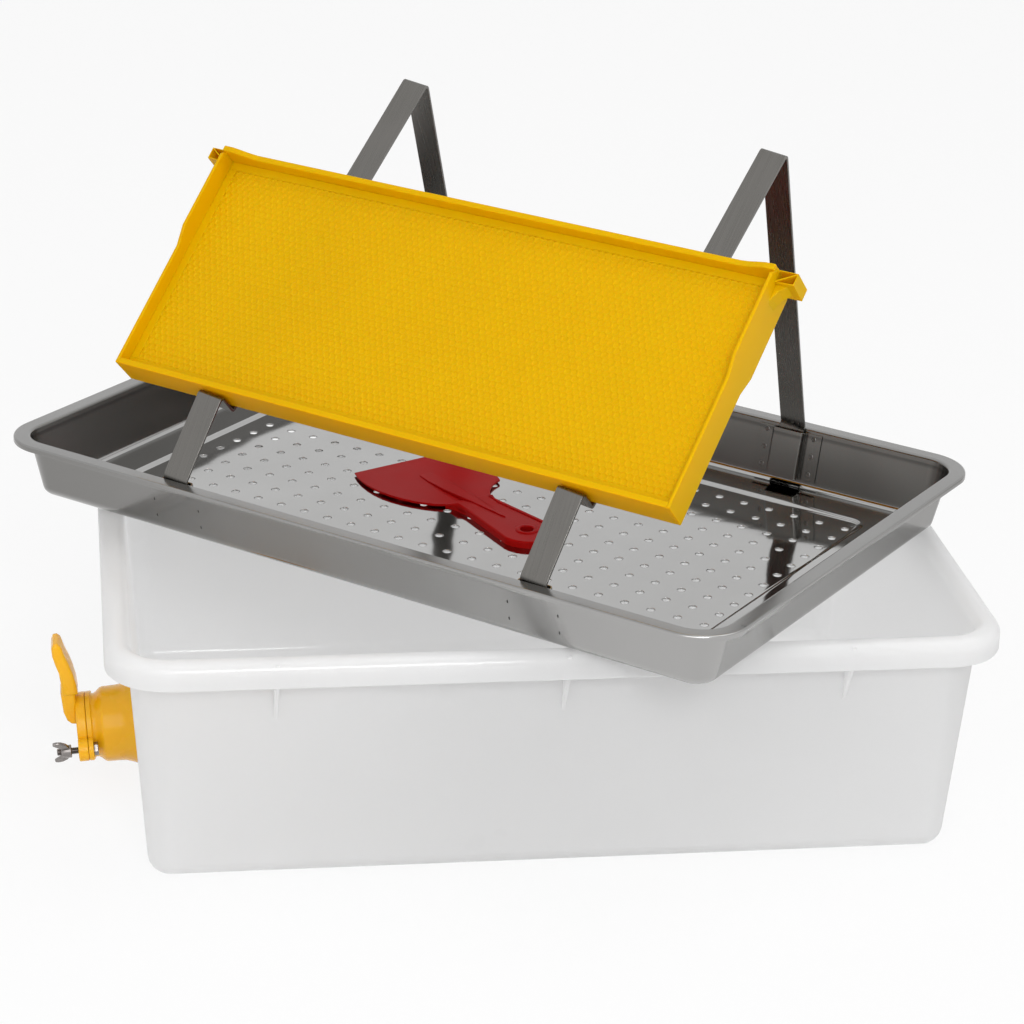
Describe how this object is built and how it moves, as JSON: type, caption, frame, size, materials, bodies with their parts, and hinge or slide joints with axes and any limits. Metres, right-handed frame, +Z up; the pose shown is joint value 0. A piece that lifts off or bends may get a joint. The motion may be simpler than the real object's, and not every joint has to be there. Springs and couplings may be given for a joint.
{
  "type": "uncapping tank",
  "caption": "Plastic tub with a honey gate, a perforated steel drain tray set across its rim, and bent steel rests that hold a hive frame at a slope over the tray.",
  "frame": {"origin": "middle of the tub's underside, on the floor", "axes": "+Z up, +X along the tub away from the gate, +Y to the back of the tub"},
  "size_m": [0.6747, 0.6525, 0.4564],
  "materials": {
    "tub_plastic": "satin translucent white",
    "gate_plastic": "glossy amber",
    "seal_rubber": "matt",
    "fastener_steel": "bright",
    "tray_steel": "polished sheet",
    "rest_steel": "satin strip",
    "frame_plastic": "semi-gloss yellow",
    "scraper_plastic": "glossy red"
  },
  "bodies": {
    "tub": {"tub": "tub_plastic", "gate_body": "gate_plastic", "gate_seal": "seal_rubber", "gate_lock_nut": "gate_plastic", "gate_pivot_bolt": "fastener_steel", "gate_pivot_nut": "fastener_steel", "gate_clamp_stud": "fastener_steel"},
    "blade": {"gate_blade": "gate_plastic"},
    "wing_nut": {"gate_wing_nut": "fastener_steel"},
    "tray": {"tray": "tray_steel", "front_left_sleeve": "tray_steel", "front_right_sleeve": "tray_steel", "rear_left_sleeve": "tray_steel", "rear_right_sleeve": "tray_steel"},
    "rest_left": {"frame_rest_left": "rest_steel"},
    "rest_right": {"frame_rest_right": "rest_steel"},
    "hive_frame": {"hive_frame": "frame_plastic", "foundation_sheet": "frame_plastic"},
    "scraper": {"scraper": "scraper_plastic"}
  },
  "joints": [
    {"name": "gate_swing", "type": "hinge", "parent": "tub", "child": "blade", "pos_m": [-0.31501, 0.00957, 0.04531], "axis": [-0.9969, 0, -0.0785], "range_deg": [0, 115]},
    {"name": "wing_nut_turn", "type": "hinge", "parent": "tub", "child": "wing_nut", "pos_m": [-0.32651, -0.04557, 0.03465], "axis": [-0.9969, 0, -0.0785], "continuous": true},
    {"name": "tray_lift", "type": "slide", "parent": "tub", "child": "tray", "axis": [0, 0, 1], "range_m": [0, 0.2]},
    {"name": "rest_left_lift", "type": "slide", "parent": "tray", "child": "rest_left", "axis": [0, 0, 1], "range_m": [0, 0.06]},
    {"name": "rest_right_lift", "type": "slide", "parent": "tray", "child": "rest_right", "axis": [0, 0, 1], "range_m": [0, 0.06]},
    {"name": "frame_lift", "type": "slide", "parent": "rest_left", "child": "hive_frame", "axis": [0, 0, 1], "range_m": [0, 0.15]},
    {"name": "scraper_lift", "type": "slide", "parent": "tray", "child": "scraper", "axis": [0, 0, 1], "range_m": [0, 0.08]}
  ],
  "couplings": [
    {"joint": "rest_right_lift", "follows": "rest_left_lift", "ratio": 1}
  ]
}
